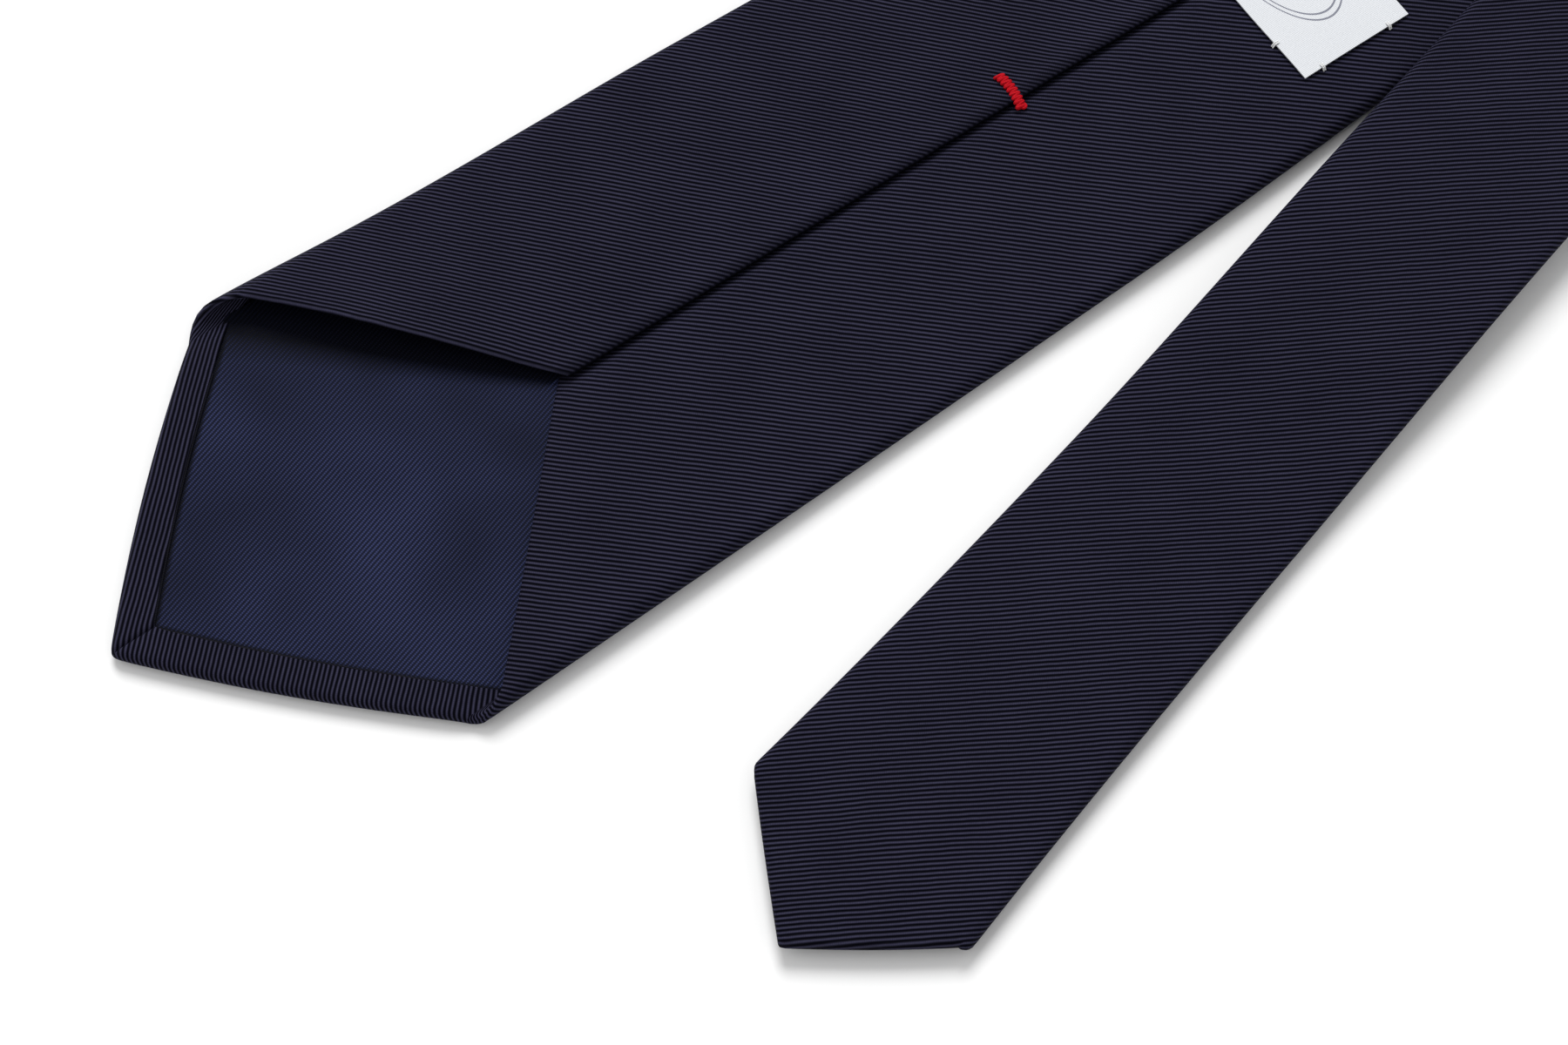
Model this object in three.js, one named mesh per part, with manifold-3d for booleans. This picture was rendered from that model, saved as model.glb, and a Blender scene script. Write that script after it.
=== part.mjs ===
// A folded necktie, laid on a table. Millimetres, +Z up. The wide blade lies face down along +X from its
// point, the tie turns over once at the neck, and the tail comes back on top of it, face up.
// Origin: centre of the wide blade's shoulder line, on the front cloth's outer face.
import * as THREE from 'three';
import { mergeVertices } from 'three/addons/utils/BufferGeometryUtils.js';
import Module from 'manifold-3d';

const wasm = await Module();
wasm.setup();

// Cloth and the gap that neighbouring layers keep.
const shellThickness = 0.5;
const interliningThickness = 1.2;
const tippingThickness = 0.25;
const labelThickness = 0.3;
const threadThickness = 0.4;
const layerGap = 0.3;

// Wide blade.
const bladeLength = 740;
const bladeHalfWidth = 40;
const bladeTipDepth = 40;
const bladeHemWidth = 5.2;
const bladeTippingEnd = 120;
const bladeTackAt = 165;
const bladeJoinAt = 600;

// Neck.
const neckHalfWidth = 18;

// Tail, measured from its own point where it says so.
const tailLength = 694;
const tailHalfWidth = 21;
const tailTipDepth = 18.6;
const tailHemWidth = 4.8;
const tailFlare = 13;
const tailTippingEnd = 56;
const tailTackAt = 62;
const tailJoinAt = 520;
const tailPieceInset = 42;
const tailHeading = THREE.MathUtils.degToRad(14.5);
const tailTurnRadius = 1430;
const tailStraightEnd = 189;
const tailDropLength = 70;

// Bar tacks, label and its stitches.
const barTackLength = 6.6;
const barTackWidth = 1.6;
const labelAt = 204.5;
const labelWidth = 20.6;
const labelHalfLength = 24;
const labelTackInset = 3.7;
const labelSideTackInset = 7.6;
const labelTackLength = 1.4;
const labelTackWidth = 0.5;
const joinThreadWidth = 0.4;
const slipThreadWidth = 0.5;

// Heights in the tie's own thickness, from the front cloth's outer face.
const interliningBottom = shellThickness + layerGap;
const liningBottom = interliningBottom + interliningThickness + layerGap;
const hemTop = liningBottom + shellThickness;
const tieThickness = hemTop + layerGap + shellThickness;
const labelBottom = tieThickness + layerGap;
const tackBottom = tieThickness + layerGap;
const labelTackBottom = labelBottom + labelThickness + layerGap;
const labelStackTop = labelTackBottom + threadThickness;

// Side folds are half round. The turned tip edge swells a little past the cloth's cut line.
const edgeRadius = tieThickness / 2;
const turnBulge = 0.1;
const turnWall = 0.6;
const seamHalfGap = layerGap / 2;
// The fold at the neck leaves room between the two halves for the label and its stitches.
const foldInnerRadius = (labelStackTop + layerGap - tieThickness) / 2;
const foldCentreHeight = tieThickness + foldInnerRadius;
const foldMeanRadius = foldInnerRadius + tieThickness / 2;
const foldLength = Math.PI * foldMeanRadius;
const totalLength = bladeLength + foldLength + tailLength;

// The tail's back lies clear of the label's stitches, and its end keeps its own tack off the table.
const tailHighLevel = tieThickness + 2 * foldInnerRadius;
const tailLowLevel = threadThickness + 2 * layerGap;
const tailTurnLength = tailTurnRadius * tailHeading;
const tailTurnStart = tailLength - tailStraightEnd - tailTurnLength;

// Half the folded width at a distance along the tie.
function halfWidthAt(s) {
  if (s <= bladeTipDepth) return bladeHalfWidth;
  if (s <= bladeLength) {
    return THREE.MathUtils.mapLinear(s, bladeTipDepth, bladeLength, bladeHalfWidth, neckHalfWidth);
  }
  const fromTip = Math.max(totalLength - s, tailTipDepth);
  const share = Math.max(0, 1 - (fromTip - tailTipDepth) / (tailLength - tailTipDepth));
  return neckHalfWidth + (tailHalfWidth - neckHalfWidth) * share ** tailFlare;
}

// The tail's centreline on the table: straight from the neck, a long easy turn, then straight to its point.
function tailPlan(along) {
  const turned = THREE.MathUtils.clamp(along - tailTurnStart, 0, tailTurnLength) / tailTurnRadius;
  const before = Math.min(along, tailTurnStart);
  const after = Math.max(0, along - tailTurnStart - tailTurnLength);
  const back = before + tailTurnRadius * Math.sin(turned) + after * Math.cos(turned);
  const sideways = tailTurnRadius * (1 - Math.cos(turned)) + after * Math.sin(turned);
  return { x: bladeLength - bladeTipDepth - back, y: -sideways, turned };
}

// Where the whole end of the tail is past the wide blade's side, so that it can come down to the table.
function findDropStart() {
  let start = tailLength;
  for (let along = tailLength; along > 0; along -= 1) {
    const { x, y, turned } = tailPlan(along);
    const halfWidth = halfWidthAt(bladeLength + foldLength + along);
    const edgeX = x - halfWidth * Math.sin(turned);
    const edgeY = y + halfWidth * Math.cos(turned);
    if (edgeY > -halfWidthAt(edgeX + bladeTipDepth) - 2 * layerGap) break;
    start = along;
  }
  return start;
}

const tailDropStart = findDropStart();

function tailLevelAt(along) {
  const share = THREE.MathUtils.smoothstep(along, tailDropStart, tailDropStart + tailDropLength);
  return THREE.MathUtils.lerp(tailHighLevel, tailLowLevel, share);
}

// From the tie's own measures to the laid tie: s along it, y across it, h up from the front cloth.
function place(s, y, h) {
  if (s <= bladeLength) return new THREE.Vector3(s - bladeTipDepth, y, h);
  const foldX = bladeLength - bladeTipDepth;
  if (s <= bladeLength + foldLength) {
    const angle = (s - bladeLength) / foldMeanRadius;
    const radius = foldInnerRadius + tieThickness - h;
    const z = foldCentreHeight - radius * Math.cos(angle);
    return new THREE.Vector3(foldX + radius * Math.sin(angle), y, z);
  }
  const along = s - bladeLength - foldLength;
  const plan = tailPlan(along);
  const x = plan.x - y * Math.sin(plan.turned);
  return new THREE.Vector3(x, plan.y + y * Math.cos(plan.turned), tailLevelAt(along) + tieThickness - h);
}

// A block with rows along the tie and columns across it, each of its corners put where pointAt says.
function bentBlock(rows, columns, pointAt) {
  const block = new THREE.BoxGeometry(1, 1, 1, rows - 1, columns - 1, 1);
  const corners = block.attributes.position;
  for (let i = 0; i < corners.count; i += 1) {
    const row = Math.round((corners.getX(i) + 0.5) * (rows - 1));
    const column = Math.round((corners.getY(i) + 0.5) * (columns - 1));
    const point = pointAt(row, column, corners.getZ(i) > 0 ? 1 : 0);
    corners.setXYZ(i, point.x, point.y, point.z);
  }
  block.deleteAttribute('normal');
  block.deleteAttribute('uv');
  return mergeVertices(block, 1e-4);
}

function joined(...pieces) {
  const solids = pieces.map((piece) => {
    const vertProperties = new Float32Array(piece.attributes.position.array);
    const triVerts = new Uint32Array(piece.index.array);
    return new wasm.Manifold(new wasm.Mesh({ numProp: 3, vertProperties, triVerts }));
  });
  const whole = solids.reduce((sum, solid) => sum.add(solid)).getMesh();
  const geometry = new THREE.BufferGeometry();
  geometry.setAttribute('position', new THREE.BufferAttribute(whole.vertProperties, 3));
  geometry.setIndex(new THREE.BufferAttribute(whole.triVerts, 1));
  return geometry;
}

// Columns of the folded cloth, from the right flap's seam edge round the front to the left flap's.
// across gives a column's place in the folded section, and reach its flat distance from the centre line.
function wrapColumns() {
  const columns = [];
  const flapSteps = 3;
  const roundSteps = 4;
  const frontSteps = 6;
  const flap = (side, share) => ({
    across: (halfWidth, inset) => ({
      y: side * THREE.MathUtils.lerp(seamHalfGap, halfWidth - edgeRadius, share),
      h: tieThickness - inset * shellThickness,
    }),
    reach: (halfWidth) => side * THREE.MathUtils.lerp(2 * halfWidth, halfWidth + edgeRadius, share),
  });
  const round = (side, angle) => ({
    across: (halfWidth, inset) => ({
      y: side * (halfWidth - edgeRadius + (edgeRadius - inset * shellThickness) * Math.cos(angle)),
      h: edgeRadius + (edgeRadius - inset * shellThickness) * Math.sin(angle),
    }),
    reach: (halfWidth) => side * (halfWidth + edgeRadius * Math.sin(angle)),
  });
  const front = (share) => ({
    across: (halfWidth, inset) => ({ y: share * (halfWidth - edgeRadius), h: inset * shellThickness }),
    reach: (halfWidth) => share * (halfWidth - edgeRadius),
  });
  for (let i = 0; i < flapSteps; i += 1) columns.push(flap(-1, i / flapSteps));
  for (let i = 0; i < roundSteps; i += 1) columns.push(round(-1, Math.PI / 2 - (Math.PI * i) / roundSteps));
  for (let i = 0; i <= frontSteps; i += 1) columns.push(front((2 * i) / frontSteps - 1));
  for (let i = 1; i <= roundSteps; i += 1) columns.push(round(1, (Math.PI * i) / roundSteps - Math.PI / 2));
  for (let i = 1; i <= flapSteps; i += 1) columns.push(flap(1, 1 - i / flapSteps));
  return columns;
}

const wrap = wrapColumns();

// Rows that go over from one edge to another, so that slanted ends follow the tie's turns as well.
function rowsBetween(from, to) {
  const count = 5;
  return Array.from({ length: count - 1 }, (_, i) => (column) => {
    return THREE.MathUtils.lerp(from(column), to(column), (i + 1) / count);
  });
}

// Cloth wrapped right round the tie between two edges, with whole rows at the distances in between.
function wrappedCloth(startOf, between, endOf) {
  const whole = between.map((s) => () => s);
  const edges = [startOf, ...whole, endOf];
  const rows = edges.flatMap((edge, i) => {
    const slanted = i === 1 || (i > 0 && i === edges.length - 1);
    return slanted ? [...rowsBetween(edges[i - 1], edge), edge] : [edge];
  });
  return bentBlock(rows.length, wrap.length, (row, column, inset) => {
    const s = rows[row](wrap[column]);
    const { y, h } = wrap[column].across(halfWidthAt(s), inset);
    return place(s, y, h);
  });
}

// A flat layer inside the tie between two heights. sideInset keeps it clear of the side folds.
function flatLayer({ startOf, between, endOf, sideInset, bottom, top, columns = 5 }) {
  const rows = [startOf, ...between.map((s) => () => s), endOf];
  return bentBlock(rows.length, columns, (row, column, up) => {
    const share = (2 * column) / (columns - 1) - 1;
    const s = rows[row](share);
    return place(s, share * (halfWidthAt(s) - sideInset), up ? top : bottom);
  });
}

// Distances along the tie where pieces have whole rows: sparse where it is flat, close where it turns.
const bladeTipZone = 2.2 * bladeTipDepth;
const tailTipZone = 2.2 * tailTipDepth;
const joinRun = 2.4 * halfWidthAt(bladeJoinAt);
const foldSteps = 8;
const tailStep = 25;
const tailStart = bladeLength + foldLength;

function steps(from, to, step) {
  const count = Math.max(1, Math.round((to - from) / step));
  return Array.from({ length: count + 1 }, (_, i) => THREE.MathUtils.lerp(from, to, i / count));
}

const foldRows = Array.from({ length: foldSteps + 1 }, (_, i) => bladeLength + (foldLength * i) / foldSteps);
const tailRows = steps(tailStart, totalLength - tailTipZone, tailStep);
const tailJoin = totalLength - tailJoinAt;
const tailRowsWithin = (from, to) => tailRows.filter((s) => s > from + 1 && s < to - 1);
const tailRowsBeforeJoin = tailRowsWithin(tailStart, tailJoin - joinRun);
const tailRowsAfterJoin = tailRowsWithin(tailJoin + joinRun, totalLength);

// Edges of the outer cloth: the two points, and the joins, which run at 45 degrees across the flat cloth.
const bladeSlope = bladeTipDepth / bladeHalfWidth;
const tailSlope = tailTipDepth / tailHalfWidth;
const bladePoint = (column) => bladeSlope * Math.abs(column.reach(bladeHalfWidth));
const tailPoint = (column) => totalLength - tailSlope * Math.abs(column.reach(tailHalfWidth));
const joinLine = (at, shift) => (column) => at + shift + column.reach(halfWidthAt(at));
const joinHalfGap = joinThreadWidth / 2 + layerGap * Math.SQRT2;

// The cloth turned over along a point: the hem on the lining's level, and the turned edge that carries it.
function turnedHem({ fromTip, slope, halfWidth, hemWidth }) {
  const runOf = (width) => width * Math.hypot(1, slope);
  const band = (near, far, sideInset, bottom, top) => bentBlock(2, 3, (row, column, up) => {
    const y = (column - 1) * (halfWidth - sideInset);
    const s = slope * Math.abs(y) + (row ? far : near);
    return fromTip(s, y, up ? top : bottom);
  });
  const middle = shellThickness / 2;
  const hem = band(0, runOf(hemWidth), edgeRadius, liningBottom, hemTop);
  const edge = band(-turnBulge, turnWall, edgeRadius + turnBulge, middle, hemTop - middle);
  return [hem, edge];
}

const fromBladeTip = (s, y, h) => place(s, y, h);
// Rows from the tail's point run the other way, so they are mirrored across to keep faces outward.
const fromTailTip = (s, y, h) => place(totalLength - s, -y, h);

const bladeTip = {
  fromTip: fromBladeTip,
  slope: bladeSlope,
  halfWidth: bladeHalfWidth,
  hemWidth: bladeHemWidth,
};
const tailTip = {
  fromTip: fromTailTip,
  slope: tailSlope,
  halfWidth: tailHalfWidth,
  hemWidth: tailHemWidth,
};

function bladeShell() {
  const end = joinLine(bladeJoinAt, -joinHalfGap);
  const cloth = wrappedCloth(bladePoint, [bladeTipZone, bladeJoinAt - joinRun], end);
  return joined(cloth, ...turnedHem(bladeTip));
}

function neckShell() {
  const rows = [bladeJoinAt + joinRun, ...foldRows, ...tailRowsBeforeJoin];
  return wrappedCloth(joinLine(bladeJoinAt, joinHalfGap), rows, joinLine(tailJoin, -joinHalfGap));
}

function tailShell() {
  const cloth = wrappedCloth(joinLine(tailJoin, joinHalfGap), tailRowsAfterJoin, tailPoint);
  return joined(cloth, ...turnedHem(tailTip));
}

function joinThread(at) {
  return wrappedCloth(joinLine(at, -joinThreadWidth / 2), [], joinLine(at, joinThreadWidth / 2));
}

// The interlining fills the tie from point to point, a little inside the turned edges and side folds.
// It is pieced above the fold, just short of the tail's join.
const turnClearance = turnWall + 2 * layerGap;
const pieceAt = tailJoin - tailPieceInset;

function interlining(startOf, between, endOf) {
  const bottom = interliningBottom;
  const top = interliningBottom + interliningThickness;
  return flatLayer({ startOf, between, endOf, sideInset: edgeRadius, bottom, top });
}

function bladeInterlining() {
  const inside = bladeHalfWidth - edgeRadius;
  const point = (share) => bladeSlope * inside * Math.abs(share) + turnClearance;
  const between = [bladeTipZone, ...foldRows, ...tailRowsWithin(tailStart, pieceAt)];
  return interlining(point, between, () => pieceAt - layerGap / 2);
}

function tailInterlining() {
  const inside = tailHalfWidth - edgeRadius;
  const point = (share) => totalLength - tailSlope * inside * Math.abs(share) - turnClearance;
  return interlining(() => pieceAt + layerGap / 2, tailRowsWithin(pieceAt, totalLength), point);
}

// The lining of a point, from its seam with the hem to its free inner end, and the thread of that seam.
function tipping({ fromTip, slope, halfWidth, hemWidth }, end) {
  const start = (hemWidth + 2 * layerGap + threadThickness) * Math.hypot(1, slope);
  return bentBlock(3, 5, (row, column, up) => {
    const share = column / 2 - 1;
    const nearS = slope * Math.abs(share) * (halfWidth - edgeRadius) + start;
    const s = [nearS, slope * halfWidth + start, end][row];
    const y = share * (halfWidthAlong(fromTip, s) - edgeRadius);
    return fromTip(s, y, liningBottom + up * tippingThickness);
  });
}

function halfWidthAlong(fromTip, s) {
  return fromTip === fromTailTip ? halfWidthAt(totalLength - s) : halfWidthAt(s);
}

function tippingThread({ fromTip, slope, halfWidth, hemWidth }) {
  const near = (hemWidth + layerGap) * Math.hypot(1, slope);
  const far = near + threadThickness * Math.hypot(1, slope);
  return bentBlock(2, 3, (row, column, up) => {
    const y = (column - 1) * (halfWidth - edgeRadius);
    return fromTip(slope * Math.abs(y) + (row ? far : near), y, liningBottom + up * tippingThickness);
  });
}

// The slip stitch closes the back seam from the wide blade's bar tack to the tail's, in two lengths.
function slipStitch(start, between, end) {
  const rows = [start, ...between, end];
  return bentBlock(rows.length, 2, (row, column, up) => {
    const y = (column - 0.5) * slipThreadWidth;
    return place(rows[row], y, liningBottom + up * threadThickness);
  });
}

function bladeSlipStitch() {
  const between = [...foldRows, ...tailRowsWithin(tailStart, pieceAt)];
  return slipStitch(bladeTackAt, between, pieceAt - layerGap / 2);
}

function tailSlipStitch() {
  const end = totalLength - tailTackAt;
  return slipStitch(pieceAt + layerGap / 2, tailRowsWithin(pieceAt, end), end);
}

// A small block stitched on the back cloth, centred at s and y.
function backBlock(s, y, length, width, bottom, height) {
  return bentBlock(2, 2, (row, column, up) => {
    const atS = s + (row - 0.5) * length;
    return place(atS, y + (column - 0.5) * width, bottom + up * height);
  });
}

function surface(color, roughness) {
  return new THREE.MeshStandardMaterial({ color, roughness, metalness: 0 });
}

const shellCloth = () => surface(0x242331, 0.75);
const liningCloth = () => surface(0x272b44, 0.6);
const feltCloth = () => surface(0xd8d2c4, 0.95);
const navyThread = () => surface(0x1d1e2c, 0.7);
const redThread = () => surface(0xb3202f, 0.6);
const whiteWeave = () => surface(0xe8e9ee, 0.8);

const necktie = new THREE.Group();

function add(name, geometry, material) {
  geometry.computeVertexNormals();
  const mesh = new THREE.Mesh(geometry, material);
  mesh.name = name;
  necktie.add(mesh);
}

add('blade_shell', bladeShell(), shellCloth());
add('neck_shell', neckShell(), shellCloth());
add('tail_shell', tailShell(), shellCloth());
add('blade_interlining', bladeInterlining(), feltCloth());
add('tail_interlining', tailInterlining(), feltCloth());
add('blade_tipping', tipping(bladeTip, bladeTippingEnd), liningCloth());
add('tail_tipping', tipping(tailTip, tailTippingEnd), liningCloth());
add('blade_tipping_thread', tippingThread(bladeTip), navyThread());
add('tail_tipping_thread', tippingThread(tailTip), navyThread());
add('blade_join_thread', joinThread(bladeJoinAt), navyThread());
add('tail_join_thread', joinThread(tailJoin), navyThread());
add('blade_slip_stitch', bladeSlipStitch(), navyThread());
add('tail_slip_stitch', tailSlipStitch(), navyThread());

const tack = (s) => backBlock(s, 0, barTackWidth, barTackLength, tackBottom, threadThickness);
add('blade_bar_tack', tack(bladeTackAt), redThread());
add('tail_bar_tack', tack(totalLength - tailTackAt), redThread());

const labelMiddle = labelAt + labelWidth / 2;
const label = backBlock(labelMiddle, 0, labelWidth, 2 * labelHalfLength, labelBottom, labelThickness);
add('label', label, whiteWeave());

// Two stitches hold each short end of the label, and one more its long edge beside each end.
const across = { length: labelTackWidth, width: labelTackLength };
const along = { length: labelTackLength, width: labelTackWidth };
const labelTacks = [-1, 1].flatMap((side) => [
  { s: labelAt + labelTackInset, y: side * labelHalfLength, ...across },
  { s: labelAt + labelWidth - labelTackInset, y: side * labelHalfLength, ...across },
  { s: labelAt, y: side * (labelHalfLength - labelSideTackInset), ...along },
]);
labelTacks.forEach(({ s, y, length, width }, i) => {
  add(`label_tack_${i + 1}`, backBlock(s, y, length, width, labelTackBottom, threadThickness), whiteWeave());
});

export default necktie;
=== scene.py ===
import bpy
from math import copysign, cos, exp, hypot, pi, radians, sin, sqrt
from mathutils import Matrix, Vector


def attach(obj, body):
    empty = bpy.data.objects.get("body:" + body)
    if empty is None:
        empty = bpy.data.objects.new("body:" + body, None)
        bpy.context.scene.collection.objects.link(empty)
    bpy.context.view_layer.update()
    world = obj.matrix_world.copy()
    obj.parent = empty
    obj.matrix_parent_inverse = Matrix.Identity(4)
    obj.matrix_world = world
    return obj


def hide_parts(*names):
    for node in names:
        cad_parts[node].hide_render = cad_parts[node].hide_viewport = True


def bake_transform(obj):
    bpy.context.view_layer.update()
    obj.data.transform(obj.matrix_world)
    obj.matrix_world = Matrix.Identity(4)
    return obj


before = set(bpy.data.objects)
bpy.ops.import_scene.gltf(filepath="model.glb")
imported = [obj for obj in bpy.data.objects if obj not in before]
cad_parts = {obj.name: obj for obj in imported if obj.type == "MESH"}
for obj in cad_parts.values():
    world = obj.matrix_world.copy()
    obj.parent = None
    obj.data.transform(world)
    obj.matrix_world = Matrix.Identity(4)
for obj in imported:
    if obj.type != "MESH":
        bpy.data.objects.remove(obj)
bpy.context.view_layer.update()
print("frame loaded:", len(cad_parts), "nodes")

# three quarters from above, over the wide point
cameraSettings = {
    "place": (-0.0794475, -0.2328098, 0.5519853),
    "tilt": 23.171,       # degrees from straight down
    "turn": -34.666,      # degrees round the upright axis
    "lens": 91.36,
    "sensor": 36,
    "nearest": 0.01,
}


def addCamera(settings):
    tilt, turn = radians(settings["tilt"]), radians(settings["turn"])
    bpy.ops.object.camera_add(location=settings["place"], rotation=(tilt, 0, turn))
    camera = bpy.context.object
    camera.name = "camera"
    camera.data.lens = settings["lens"]
    camera.data.sensor_width = settings["sensor"]
    camera.data.clip_start = settings["nearest"]
    bpy.context.scene.camera = camera


addCamera(cameraSettings)
print("camera placed")

# the tie's own measures, in millimetres
# s runs along the tie from the wide point, y across it, h up from the front cloth's outer face
tie = {
    "bladeLength": 740.0, "bladeHalfWidth": 40.0, "tipDepth": 40.0, "neckHalfWidth": 18.0,
    "bladeThick": 3.4, "neckThick": 2.8,
    "thinning": (180, 700),       # from where to where the blade thins
    "tailThick": 3.0,
    "thickening": (40, 200),      # past the tail's join
    "cloth": 0.42, "hemWidth": 5.2, "tippingEnd": 120.0, "tackAt": 165.0, "joinAt": 600.0,
    "foldHeight": 4.4, "foldMean": 2.6, "tailLength": 694.0, "tailHalfWidth": 21.0, "tailFlare": 13,
    "tailLean": 0.75, "leaning": (300, 460), "tailTipDepth": 18.6, "tailHemWidth": 4.8,
    "tailTippingEnd": 56.0, "tailTackAt": 62.0, "tailJoinAt": 520.0, "tailPieceInset": 42.0,
    "tailHeading": radians(14.5), "tailTurnRadius": 1430.0, "tailStraightEnd": 189.0,
    "tailClear": 0.6, "tailDrop": 70.0,
    "tailOverTop": 7.5,           # the tail's top where it lies on the blade
    "tailSinking": (225, 310),
    "tailEndTop": 3.8,            # and where it lies on the table
}
foldLength = pi * tie["foldMean"]
totalLength = tie["bladeLength"] + foldLength + tie["tailLength"]
tailStart = tie["bladeLength"] + foldLength
tailTurnLength = tie["tailTurnRadius"] * tie["tailHeading"]
tailTurnStart = tie["tailLength"] - tie["tailStraightEnd"] - tailTurnLength
tailJoin = totalLength - tie["tailJoinAt"]
pieceAt = tailJoin - tie["tailPieceInset"]


def lerp(a, b, t):
    return a + (b - a) * t


def clamp(x, low=0.0, high=1.0):
    return min(max(x, low), high)


def ease(x, a, b):
    t = clamp((x - a) / (b - a))
    return t * t * (3 - 2 * t)


def bump(x, middle, spread):
    return exp(-((x - middle) / spread) ** 2)


def plateau(x, a, b, c, d):
    # up from a to b, and down again from c to d
    return ease(x, a, b) * (1 - ease(x, c, d))


def halfWidthAt(s):
    if s <= tie["tipDepth"]:
        return tie["bladeHalfWidth"]
    if s <= tie["bladeLength"]:
        along = (s - tie["tipDepth"]) / (tie["bladeLength"] - tie["tipDepth"])
        return lerp(tie["bladeHalfWidth"], tie["neckHalfWidth"], along)
    fromTip = max(totalLength - s, tie["tailTipDepth"])
    share = max(0.0, 1 - (fromTip - tie["tailTipDepth"]) / (tie["tailLength"] - tie["tailTipDepth"]))
    return tie["neckHalfWidth"] + (tie["tailHalfWidth"] - tie["neckHalfWidth"]) * share ** tie["tailFlare"]


# folded by hand, so the two sides differ a little
byHand = {
    "until": 450, "leftCorner": 0.45, "leftCornerAt": (42, 18), "leftSwell": 1.3,
    "leftSwellAt": (55, 125, 260, 430), "rightSwell": 0.5, "rightSwellAt": (60, 70), "rightWaist": 2.3,
    "rightWaistAt": (165, 250, 300, 450),
}


def halfOn(side, s):
    half = halfWidthAt(s)
    if s > byHand["until"]:
        return half
    if side > 0:
        half += byHand["leftCorner"] * bump(s, *byHand["leftCornerAt"])
        return half + byHand["leftSwell"] * plateau(s, *byHand["leftSwellAt"])
    half += byHand["rightSwell"] * bump(s, *byHand["rightSwellAt"])
    return half - byHand["rightWaist"] * plateau(s, *byHand["rightWaistAt"])


def thickAt(s):
    if s <= tie["bladeLength"]:
        return lerp(tie["bladeThick"], tie["neckThick"], ease(s, *tie["thinning"]))
    return lerp(tie["neckThick"], tie["tailThick"], ease(s - tailJoin, *tie["thickening"]))


def tailPlan(along):
    turned = clamp(along - tailTurnStart, 0, tailTurnLength) / tie["tailTurnRadius"]
    before = min(along, tailTurnStart)
    after = max(0.0, along - tailTurnStart - tailTurnLength)
    back = before + tie["tailTurnRadius"] * sin(turned) + after * cos(turned)
    sideways = tie["tailTurnRadius"] * (1 - cos(turned)) + after * sin(turned)
    return tie["bladeLength"] - tie["tipDepth"] - back, -sideways, turned


def findDropStart():
    # how far along the tail its upper edge leaves the blade
    start, along = tie["tailLength"], tie["tailLength"]
    while along > 0:
        x, y, turned = tailPlan(along)
        half = halfWidthAt(tailStart + along)
        edgeX, edgeY = x - half * sin(turned), y + half * cos(turned)
        if edgeY > -halfWidthAt(edgeX + tie["tipDepth"]) - tie["tailClear"]:
            break
        start = along
        along -= 1
    return start


tailDropStart = findDropStart()
foldX = tie["bladeLength"] - tie["tipDepth"]


def tailTopAt(along):
    top = lerp(2 * tie["foldHeight"], tie["tailOverTop"], ease(along, *tie["tailSinking"]))
    return lerp(top, tie["tailEndTop"], ease(along, tailDropStart, tailDropStart + tie["tailDrop"]))


# slow hills in laid cloth, none below the table
hills = {
    "height": 0.16, "along": 17, "across": 31, "start": 0.7, "swell": 0.4, "swellAlong": 41,
    "swellAcross": 13, "onBlade": (2, 30, 430, 580), "tailShift": 40, "tailShare": 0.8,
    "onTail": (230, 330),
}


def ripple(x, y):
    hill = 1 + sin(x / hills["along"] + y / hills["across"] + hills["start"])
    swell = sin(y / hills["swellAcross"] - x / hills["swellAlong"])
    return hills["height"] * hill * (1 - hills["swell"] + hills["swell"] * swell)


def place(s, y, h):
    # from the tie's own measures to where the point lies, all in millimetres
    if s <= tie["bladeLength"]:
        x = s - tie["tipDepth"]
        return Vector((x, y, h + ripple(x, y) * plateau(s, *hills["onBlade"])))
    if s <= tailStart:
        angle = (s - tie["bladeLength"]) / tie["foldMean"]
        radius = tie["foldHeight"] - h
        return Vector((foldX + radius * sin(angle), y, tie["foldHeight"] - radius * cos(angle)))
    along = s - tailStart
    x, planY, turned = tailPlan(along)
    lift = hills["tailShare"] * ripple(x + hills["tailShift"], y * 2) * ease(along, *hills["onTail"])
    y -= tie["tailLean"] * ease(along, *tie["leaning"])
    px, py = x - y * sin(turned), planY + y * cos(turned)
    return Vector((px, py, tailTopAt(along) + lift - h))


# the outer cloth wraps round in columns
# a column is (zone, side, share); rounds run from the front at 0 to the back at 1
fold = {
    "flapColumns": 22, "roundColumns": 9, "frontColumns": 22,
    "mitreColumns": [0.006, 0.012, 0.019, 0.03, 0.05, 0.085], "turnColumns": 5, "leftOverlap": 0.9,
    "rightOverlap": 0.5, "leftPuff": 3.3, "rightPuff": 0.8, "puffAt": (42, 38), "puffEnd": 300,
    "puffReach": 1.25, "puffPower": 0.8, "arch": 2.5, "archFade": 26,
    "pucker": 0.1,            # small folds beside the bar tack
    "puckerStep": 1.15, "puckerSlant": 2.2, "puckerAt": (-4, 26), "puckerAcross": (1.0, 0.16),
    "loose": 0.28, "looseAt": (118, 34), "looseAcross": (0.93, 0.13), "turnDepth": 0.5, "turnRun": 3.2,
    "turnBend": 0.6,          # share of the turn's columns in its bend
    "seamWidth": 4.5, "seamRidge": 0.5, "neckDip": 0.7, "seamDip": 1.3, "seamFlattens": (250, 500),
    # four of the keys below set how much painted shade the flaps' columns get by the seam
    "leastRadius": 0.15, "seamShadeFrom": 0.94, "seamShadeEdge": 0.99, "leftSeamShade": (0.0, 0.5),
    "rightSeamShade": (0.4, 1.0), "hemAtSide": 1.7, "hemAtFlap": 0.52,
}


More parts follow.
